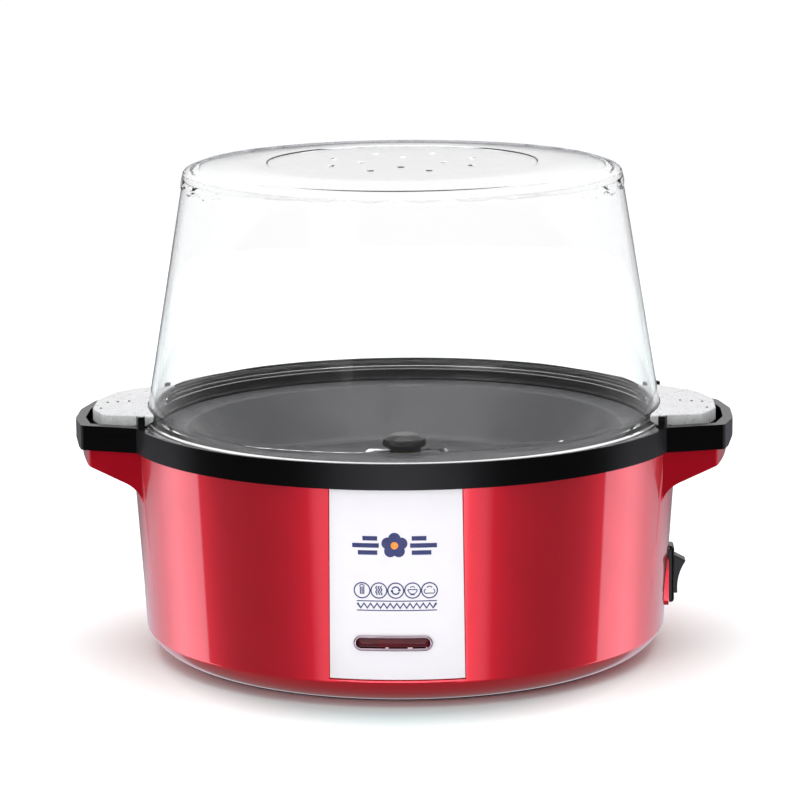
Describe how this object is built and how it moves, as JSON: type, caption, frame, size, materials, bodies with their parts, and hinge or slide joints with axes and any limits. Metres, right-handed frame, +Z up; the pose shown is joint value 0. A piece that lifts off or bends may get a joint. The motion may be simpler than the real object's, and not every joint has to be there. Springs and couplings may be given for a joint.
{
  "type": "popcorn maker",
  "caption": "Stirring popcorn maker: round red housing with black rim and handles, white panel, rocker switch, heated pan with stirring rod and clear lift-off dome.",
  "frame": {"origin": "middle of the footprint, on the surface that the four feet stand on", "axes": "+Z up; -Y towards the front panel; +X along the handles, towards the switch"},
  "size_m": [0.35, 0.298, 0.261],
  "materials": {
    "clear_dome": "clear gloss polycarbonate",
    "black_plastic": "satin black",
    "red_shell": "gloss metallic red lacquer",
    "white_panel": "gloss white",
    "chrome_trim": "plated plastic",
    "red_lens": "clear dark red",
    "lamp_glass": "clear glass",
    "nonstick_pan": "dark non-stick coating",
    "silicone": "matt",
    "steel": "plain",
    "aluminium": "mill",
    "brass": "turned",
    "copper_coil": "enamelled winding",
    "gear_plastic": "natural acetal",
    "rubber": "matt black",
    "ceramic": "unglazed",
    "lead_sleeve": "fibre sleeve"
  },
  "bodies": {
    "base": {"rim_ring": "black_plastic", "lamp_holder": "black_plastic", "switch_frame": "black_plastic", "base_plate": "black_plastic", "cord_gland": "black_plastic", "body_shell": "red_shell", "front_panel": "white_panel", "indicator_bezel": "chrome_trim", "indicator_lens": "red_lens", "indicator_lamp": "lamp_glass", "heating_pan": "nonstick_pan", "pan_gasket": "silicone", "heating_element": "steel", "motor_can": "steel", "gear_plate": "steel", "gearbox_cover": "steel", "motor_bracket": "steel", "thermal_fuse": "steel", "pan_standoff_1": "steel", "pan_standoff_2": "steel", "pan_standoff_3": "steel", "motor_screw_1": "steel", "motor_screw_2": "steel", "bracket_screw_1": "steel", "bracket_screw_2": "steel", "base_screw_1": "steel", "base_screw_2": "steel", "base_screw_3": "steel", "base_screw_4": "steel", "rim_screw_1": "steel", "rim_screw_2": "steel", "rim_screw_3": "steel", "rim_screw_4": "steel", "heat_shield": "aluminium", "element_clamp_1": "aluminium", "element_clamp_2": "aluminium", "element_clamp_3": "aluminium", "shaft_bush": "brass", "motor_coil": "copper_coil", "foot_1": "rubber", "foot_2": "rubber", "foot_3": "rubber", "foot_4": "rubber", "thermostat": "ceramic", "terminal_block": "ceramic", "lead_supply": "lead_sleeve", "lead_switched": "lead_sleeve", "lead_return": "lead_sleeve", "lead_lamp": "lead_sleeve", "lead_motor": "lead_sleeve"},
    "dome": {"dome_cover": "clear_dome"},
    "rocker": {"switch_rocker": "black_plastic"},
    "drive": {"drive_shaft": "steel"},
    "stirrer": {"stirrer_hub": "black_plastic", "stirrer_cap": "black_plastic", "stirrer_arm_1": "steel", "stirrer_arm_2": "steel"},
    "gear_two": {"gear_second": "gear_plastic"},
    "gear_one": {"gear_first": "gear_plastic"},
    "rotor": {"motor_rotor": "gear_plastic"}
  },
  "joints": [
    {"name": "dome_lift", "type": "slide", "parent": "base", "child": "dome", "axis": [0, 0, 1], "range_m": [0, 0.16]},
    {"name": "rocker_tilt", "type": "hinge", "parent": "base", "child": "rocker", "pos_m": [0.1415, 0, 0.038], "axis": [0, -1, 0], "range_deg": [0, 28]},
    {"name": "stir_spin", "type": "hinge", "parent": "base", "child": "drive", "pos_m": [0, 0, 0.0556], "axis": [0, 0, 1], "continuous": true},
    {"name": "stirrer_lift", "type": "slide", "parent": "drive", "child": "stirrer", "axis": [0, 0, 1], "range_m": [0, 0.03]},
    {"name": "gear_second_spin", "type": "hinge", "parent": "base", "child": "gear_two", "pos_m": [0.01055, 0.00739, 0.0556], "axis": [0, 0, 1], "continuous": true},
    {"name": "gear_first_spin", "type": "hinge", "parent": "base", "child": "gear_one", "pos_m": [0.00912, 0.0185, 0.0556], "axis": [0, 0, 1], "continuous": true},
    {"name": "rotor_spin", "type": "hinge", "parent": "base", "child": "rotor", "pos_m": [0, 0.012, 0.0556], "axis": [0, 0, 1], "continuous": true}
  ],
  "couplings": [
    {"joint": "gear_second_spin", "follows": "stir_spin", "ratio": -3.6},
    {"joint": "gear_first_spin", "follows": "stir_spin", "ratio": 10.8},
    {"joint": "rotor_spin", "follows": "stir_spin", "ratio": -32.4}
  ]
}
